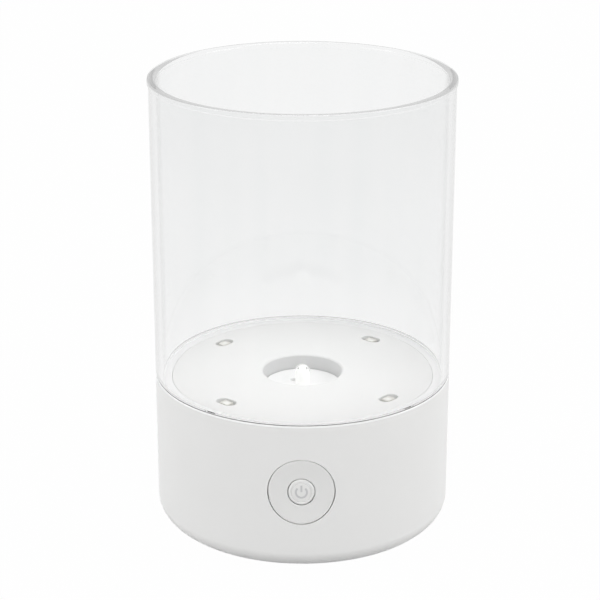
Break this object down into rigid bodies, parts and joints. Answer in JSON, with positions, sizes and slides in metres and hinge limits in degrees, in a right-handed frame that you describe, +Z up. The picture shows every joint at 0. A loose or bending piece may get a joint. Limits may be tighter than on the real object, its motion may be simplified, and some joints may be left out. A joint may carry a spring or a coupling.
{
  "type": "salt stone lamp",
  "caption": "Round table lamp for salt stones: an open clear cylinder lifts off a white base with a light well, four flat lamps and a front push button.",
  "frame": {"origin": "on the ground, under the middle of the round base", "axes": "+Z up along the cylinder's axis, -Y towards the push button, +X to the right when facing the button"},
  "size_m": [0.0988, 0.0988, 0.151],
  "materials": {
    "clear_plastic": "polished clear",
    "white_plastic": "fine satin moulding",
    "plate_white": "smooth semi-gloss moulding",
    "dish_grey": "fine satin moulding",
    "reflector_white": "high gloss",
    "lamp_clear": "clear resin",
    "lamp_body": "white lamp housing with resin lens",
    "board_white": "white solder mask",
    "board_green": "green solder mask",
    "black_plastic": "moulded black",
    "bright_metal": "nickel plated",
    "header_cream": "natural nylon",
    "lead_grey": "matt insulation",
    "foot_rubber": "matt rubber"
  },
  "bodies": {
    "base": {"base_shell": "white_plastic", "bottom_cover": "white_plastic", "foot_1": "foot_rubber", "foot_2": "foot_rubber", "foot_3": "foot_rubber", "foot_4": "foot_rubber", "cover_screw_1": "bright_metal", "cover_screw_2": "bright_metal", "cover_screw_3": "bright_metal", "cover_screw_4": "bright_metal", "top_plate": "plate_white", "led_board": "board_white", "led_1": "lamp_body", "led_2": "lamp_body", "led_3": "lamp_body", "led_4": "lamp_body", "well_reflector": "reflector_white", "centre_led": "lamp_clear", "centre_led_board": "board_white", "button_bezel": "dish_grey", "tact_switch": "black_plastic", "switch_board": "board_green", "switch_board_screw_1": "bright_metal", "switch_board_screw_2": "bright_metal", "main_board": "board_green", "main_board_screw_1": "bright_metal", "main_board_screw_2": "bright_metal", "main_board_screw_3": "bright_metal", "main_board_screw_4": "bright_metal", "controller_chip": "black_plastic", "capacitor": "bright_metal", "inductor": "black_plastic", "power_socket": "bright_metal", "main_switch_header": "header_cream", "main_led_header": "header_cream", "switch_header": "header_cream", "led_header": "header_cream", "switch_lead": "lead_grey", "led_lead": "lead_grey", "centre_led_lead": "lead_grey"},
    "cylinder": {"cylinder": "clear_plastic"},
    "button": {"button_cap": "white_plastic", "switch_plunger": "header_cream"}
  },
  "joints": [
    {"name": "cylinder_lift", "type": "slide", "parent": "base", "child": "cylinder", "axis": [0, 0, 1], "range_m": [0, 0.04]},
    {"name": "button_press", "type": "slide", "parent": "base", "child": "button", "axis": [0, 1, 0], "range_m": [0, 0.0006], "stiffness_N_per_m": 2500}
  ]
}
